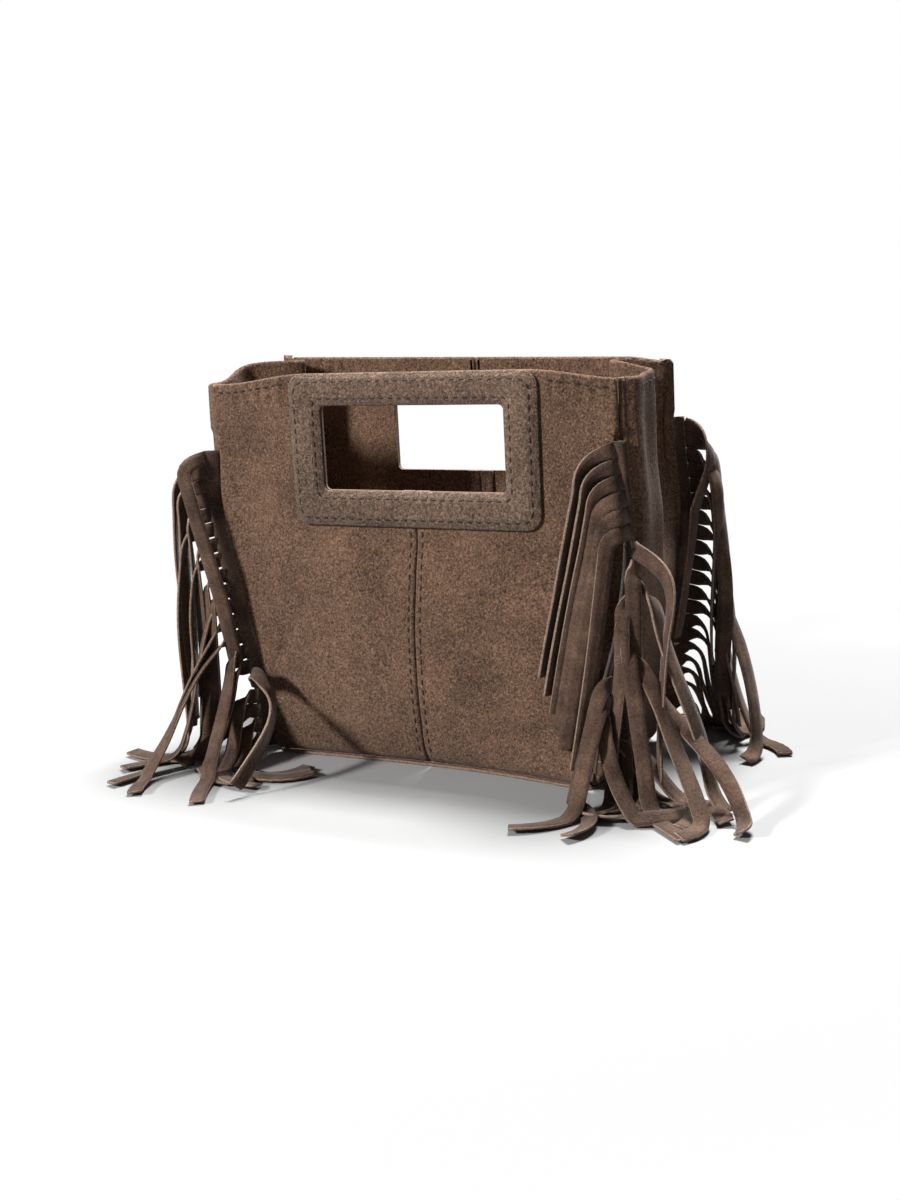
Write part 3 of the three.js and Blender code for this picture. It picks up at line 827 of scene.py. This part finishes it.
corners = {
    "front_right": {
        "side_x": 1, "side_y": -1, "seed": 3, "top_z": 170, "droop": -20, "curl": -2.6,
        "header": [(0, 5.5), (0.27, 2), (1, 2.5)],
        "out": [(0, 190), (0.27, 198), (0.33, 300), (0.6, 330), (1, 370)],
        "reach": [(0, 11), (0.27, 6), (0.35, 10), (1, 10)],
        "lift": [(0, -75), (0.12, -60), (0.16, 0), (0.29, 0), (0.34, 35), (1, 20)],
        "lean": [(0, 184), (0.27, 188), (0.36, 290), (0.6, 325), (1, 372)],
        "top": [(0, 12), (0.27, 11), (0.4, 6), (0.7, 20), (1, 30)],
        "tip": [(0, 10), (0.27, 9), (0.4, 4), (0.7, 24), (1, 40)],
        "room": [(0, 5), (0.13, 6.5), (0.27, 10), (0.33, 3.5), (1, 6.5)],
        "limp": [(0, 0), (0.29, 0), (0.34, 1), (1, 1)],
        "own": {
            0: {"reach": 13, "top": 14, "tip": 10, "twist": 5},
            1: {"reach": 11, "top": 13, "tip": 10, "twist": 10},
            2: {"reach": 9, "top": 12, "tip": 10, "twist": 30},
            3: {"reach": 8, "top": 12, "tip": 11, "twist": 10},
            4: {"reach": 7, "top": 11, "tip": 10, "twist": -8},
            5: {"reach": 6, "top": 8, "tip": 9, "twist": -15},
            6: {"out": 350, "rise": -26, "reach": 23, "lean": 205, "top": 22, "tip": -9, "twist": 5,
                "limp": 0.2,
                "lift": 0},
            7: {"out": 290, "reach": 8, "lean": 300, "top": 2, "tip": 3, "twist": 40},
            8: {"out": 345, "reach": 11, "lean": 350, "top": 15, "tip": 18, "twist": 30, "floor": 340,
                "curl": -1},
            9: {"out": 268, "reach": 7, "lean": 250, "top": 4, "tip": 6, "twist": 35},
            10: {"out": 275, "reach": 8, "lean": 290, "top": 8, "tip": 6, "floor": 300, "curl": -3},
            11: {"out": 300, "reach": 10, "lean": 306, "top": 12, "tip": 32, "floor": 318, "curl": 0},
            12: {"out": 330, "reach": 12, "lean": 350, "top": 32, "tip": 44, "turn": -60, "floor": 290,
                "curl": -3},
            13: {"out": 350, "reach": 12, "lean": 368, "top": 42, "tip": 56, "turn": -70, "floor": 310,
                "curl": -3},
            14: {"out": 262, "rise": 5, "reach": 8, "lean": 235, "top": 22, "tip": 50, "turn": 60,
                "floor": 345,
                 "curl": -2.8, "settle": 0.15},
            15: {"out": 275, "rise": 10, "reach": 9, "lean": 262, "top": 30, "tip": 40, "floor": 262,
                "curl": -1.5},
            16: {"out": 285, "rise": 20, "reach": 9, "lean": 300, "top": 30, "tip": 60, "turn": 40,
                "curl": 2},
        },
    },
    "front_left": {
        "side_x": -1, "side_y": -1, "seed": 5, "top_z": 164, "droop": -10, "curl": 2.6,
        "header": [(0, 2.5), (1, 2.5)],
        "lift": [(0, -12), (1, -20)],
        "out": [(0, 200), (0.3, 200), (0.5, 232), (1, 285)],
        "reach": [(0, 11), (0.5, 9), (1, 9)],
        "lean": [(0, 215), (0.3, 215), (0.6, 240), (1, 290)],
        "top": [(0, 3), (0.3, 5), (0.5, 12), (1, 30)],
        "tip": [(0, -3), (0.3, 3), (0.5, 26), (1, 44)],
        "room": [(0, 2.5), (1, 8)],
        "limp": [(0, 0.4), (0.5, 1), (1, 1)],
        "own": {
            0: {"out": 222, "rise": -20, "reach": 9, "lean": 355, "top": 18, "tip": 12, "twist": 0, "sway": 2,
                "limp": 0, "lift": 35, "room": 7},
            1: {"out": 196, "reach": 14, "lean": 200, "top": 3, "tip": -3, "twist": -60},
            2: {"out": 206, "reach": 12, "lean": 215, "top": 2, "tip": -4, "twist": 80},
            3: {"out": 188, "reach": 13, "lean": 200, "top": 1, "tip": -3, "twist": -70},
            4: {"out": 215, "reach": 9, "lean": 250, "top": 3, "tip": 3, "twist": 60},
            5: {"out": 205, "reach": 13, "lean": 222, "top": 2, "tip": 3, "twist": 60},
            6: {"out": 225, "reach": 8, "lean": 285, "top": 5, "tip": 6, "twist": -50},
            7: {"out": 215, "reach": 11, "lean": 230, "top": 4, "tip": 8, "twist": 50},
            8: {"out": 235, "reach": 8, "lean": 280, "top": 5, "tip": 9, "twist": -50},
            9: {"out": 245, "reach": 8, "lean": 290, "top": 7, "tip": 12, "twist": 40},
            10: {"out": 225, "reach": 9, "lean": 232, "top": 18, "tip": 26, "floor": 222, "curl": 0.4},
            11: {"out": 232, "reach": 8, "lean": 245, "top": 31, "tip": 35, "floor": 242, "curl": 0.3},
            12: {"out": 240, "reach": 8, "lean": 240, "top": 44, "tip": 40, "turn": 30, "floor": 272,
                "curl": 1.2},
            13: {"out": 255, "reach": 7, "lean": 282, "top": 30, "tip": 50, "floor": 286, "curl": 0.4},
            15: {"out": 305, "rise": 42, "reach": 13, "lean": 345, "top": 62, "tip": 45, "turn": -115,
                "hook": 1.1,
                 "floor": 200, "curl": 4},
            17: {"out": 260, "reach": 6, "lean": 215, "top": 42, "tip": 60, "floor": 205, "curl": -1},
        },
    },
    "back_right": {
        "side_x": 1, "side_y": 1, "seed": 7, "top_z": 172, "droop": -14, "curl": 5,
        "header": [(0, 2), (1, 2.5)],
        "lift": [(0, 50), (1, 25)],
        "out": [(0, -6), (0.5, 14), (1, 50)],
        "reach": [(0, 13), (0.5, 11), (1, 11)],
        "lean": [(0, -10), (0.5, 10), (1, 60)],
        "top": [(0, 1), (0.4, 3), (0.6, 9), (1, 24)],
        "tip": [(0, -4), (0.4, 2), (0.6, 16), (1, 32)],
        "room": [(0, 2.5), (1, 8)],
        "limp": [(0, 1), (1, 1)],
        "own": {
            0: {"out": -20, "rise": -25, "reach": 17, "lean": 205, "top": 12, "tip": 17, "twist": 20,
                "lift": 0},
            2: {"out": -25, "reach": 15, "lean": 340, "top": 1, "tip": -2, "twist": -90},
            4: {"out": -20, "reach": 13, "lean": 330, "top": 3, "tip": 0, "twist": 80},
            6: {"out": -10, "reach": 12, "lean": 350, "top": 8, "tip": 3, "twist": -80},
            9: {"out": 0, "reach": 11, "lean": -5, "top": 17, "tip": 22, "turn": -70, "floor": 290,
                "curl": -2},
            11: {"out": 5, "reach": 11, "lean": 5, "top": 18, "tip": 24, "floor": 0, "curl": -2},
        },
    },
    "back_left": {
        "side_x": -1, "side_y": 1, "seed": 11, "top_z": 166, "droop": -14, "curl": -2.6,
        "header": [(0, 2.5), (1, 2.5)],
        "lift": [(0, 40), (1, 20)],
        "out": [(0, 174), (0.5, 158), (1, 120)],
        "reach": [(0, 13), (0.5, 11), (1, 11)],
        "lean": [(0, 180), (0.5, 160), (1, 115)],
        "top": [(0, 3), (0.4, 7), (0.6, 16), (1, 30)],
        "tip": [(0, 2), (0.4, 8), (0.6, 26), (1, 40)],
        "room": [(0, 2.5), (1, 8)],
        "limp": [(0, 1), (1, 1)],
        "own": {},
    },
}


def seam_place(side_x, side_y, z):
    x = side_x * half_width(z, side_x)
    y = side_y * face_depth(x, z, side_y)
    return Vector((x, y, raised(x, y, z)))


def strip_place(corner, share):
    """Where the strip leaves its seam, by share of the way down it, and its direction there."""
    out = Vector((corner["side_x"], corner["side_y"], 0)).normalized()
    z = corner["top_z"] - strand_pitch * strand_count * share
    seam = seam_place(corner["side_x"], corner["side_y"], z)
    return seam, out, heading(along(corner["out"], share), 0)


def header_grid(corner):
    """The uncut strip: caught in the seam inside, turned the strands' way outside."""
    grid = []
    for share in spread(1, 0, 100):
        seam, out, away = strip_place(corner, share)
        elbow = seam + out * elbow_out
        reach = along(corner["header"], share)
        grid.append([seam - out * header_inside, seam - out * 2, elbow, elbow + away * reach / 2,
                     elbow + away * reach])
    return grid


def strand_lay(corner, i):
    share = (i + 0.5) / strand_count
    seed = corner["seed"]
    lay = {
        "out": along(corner["out"], share),
        "rise": mix(corner["droop"], 30, smooth(0.55, 1, share)),
        "lean": along(corner["lean"], share) + 8 * scatter(seed, i),
        "top": along(corner["top"], share) + 2 * scatter(seed + 1, i),
        "tip": along(corner["tip"], share) + 4 * scatter(seed + 2, i),
        "hook": 1,
        "turn": 0,
        "settle": 0.12 * (1 + scatter(seed + 9, i)),
        "sway": 7 * along(corner["limp"], share),
        "swing": 16 + 5 * scatter(seed + 7, i),
        "phase": 3 * scatter(seed + 8, i),
        "limp": along(corner["limp"], share),
        "twist": 50 * scatter(seed + 3, i) * smooth(0, 0.3, share),
        "reach": along(corner["reach"], share) + scatter(seed + 4, i),
        "curl": corner["curl"] * (1 + 0.5 * scatter(seed + 5, i)),
        "room": along(corner["room"], share),
        "lift": along(corner["lift"], share) + 12 * scatter(seed + 10, i) * along(corner["limp"], share),
        "length": strand_length - bottom_trim * smooth(0.5, 1, share),
    }
    lay["floor"] = lay["lean"] + 20 * scatter(seed + 6, i)
    lay.update(corner["own"].get(i, {}))
    return lay


def fringe_grids(corner):
    grids = [header_grid(corner)]
    for i in range(strand_count):
        lay = strand_lay(corner, i)
        share = (i + 0.5) / strand_count
        seam, out, away = strip_place(corner, share)
        root = seam + out * elbow_out + away * (along(corner["header"], share) - root_overlap)
        grids.append(ribbon_grid(strand_path(root, lay)))
    return grids


def fine_suede(name, dark, middle, light):
    """Thinner suede with a finer, smoother nap."""
    material, shader, wires = new_finish(name, 0.9, 0.1)
    place = wires.node("TexCoord", output="Object")
    nap = noise(wires, place, 0.9, 4.0, 0.6)
    clouds = noise(wires, place, 14, 3.0, 0.55)
    tone = nap * 0.5 + clouds * 0.5
    low = tone.between(0.38, 0.55).blend(dark, middle)
    connect(wires, shader, tone.between(0.55, 0.72).blend(low, light), nap, 0.25)
    return material


strand_suede = fine_suede("fringe_suede", (0.033, 0.018, 0.012, 1), (0.094, 0.053, 0.035, 1),
                          (0.19, 0.115, 0.078, 1))
for corner_name, corner in corners.items():
    strip = leather(f"{corner_name}_fringe_leather", fringe_grids(corner), fringe_suede,
                    [strand_suede, cut_edge], offset=0, even=False)
    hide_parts(f"fringe_{corner_name}")
    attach(strip, "root")

# Floor and light. A plain ground that fades into a white surround and throws little light back on the
# leather. One soft key lamp stands at the upper left of the front, one lamp overhead lays the bag's
# shadow in front of it, and a weak even fill leaves the right gusset in shade.
floor_finish, floor_shader, floor_wires = new_finish("floor", 0.9, 0.0, specular=0.0)
bounced = floor_wires.node("LightPath", output="Is Diffuse Ray")
ground_colour = bounced.blend((0.34, 0.34, 0.34, 1), (0.18, 0.18, 0.18, 1))
floor_wires.tree.links.new(ground_colour.socket, floor_shader.inputs["Base Color"])
floor_place = floor_wires.node("TexCoord", output="Object")
away = floor_wires.node("VectorMath", {"operation": "LENGTH"}, {0: floor_place}, output="Value")
rays = [floor_wires.node("LightPath", output=name)
        for name in ("Is Camera Ray", "Is Glossy Ray", "Is Transmission Ray")]
faded = (rays[0] + rays[1] + rays[2]) * away.between(0.22, 0.42)
glow = floor_wires.node("Emission", None, {"Color": (1, 1, 1, 1), "Strength": 1.0})
ground = floor_wires.node("MixShader", None, {0: faded, 2: glow})
floor_wires.tree.links.new(floor_shader.outputs["BSDF"], ground.socket.node.inputs[1])
floor_wires.tree.links.new(ground.socket, floor_wires.tree.nodes["Material Output"].inputs["Surface"])
bpy.ops.object.select_all(action="DESELECT")
bpy.ops.mesh.primitive_plane_add(size=12, location=(0, 0, 0))
floor = bpy.context.object
floor.name = "floor"
floor.data.materials.append(floor_finish)

world = bpy.data.worlds.new("studio")
bpy.context.scene.world = world
world.use_nodes = True
background = world.node_tree.nodes["Background"]
sky = Wire(world.node_tree)
seen = sky.node("LightPath", output="Is Camera Ray")
ambient = 0.12
world.node_tree.links.new((seen * (1 - ambient) + ambient).socket, background.inputs["Strength"])
background.inputs["Color"].default_value = (1, 1, 1, 1)


def area_lamp(name, place, size, power):
    data = bpy.data.lights.new(name, "AREA")
    data.size = size
    data.energy = power
    lamp = bpy.data.objects.new(name, data)
    lamp.location = place
    lamp.rotation_euler = (Vector((0, 0, 0.1)) - Vector(place)).to_track_quat("-Z", "Y").to_euler()
    bpy.context.scene.collection.objects.link(lamp)


area_lamp("key", (-1.35, -1.95, 1.3), 0.35, 95)
area_lamp("overhead", (0.06, 0.5, 1.72), 0.5, 84)
bpy.context.scene.view_settings.view_transform = "Standard"
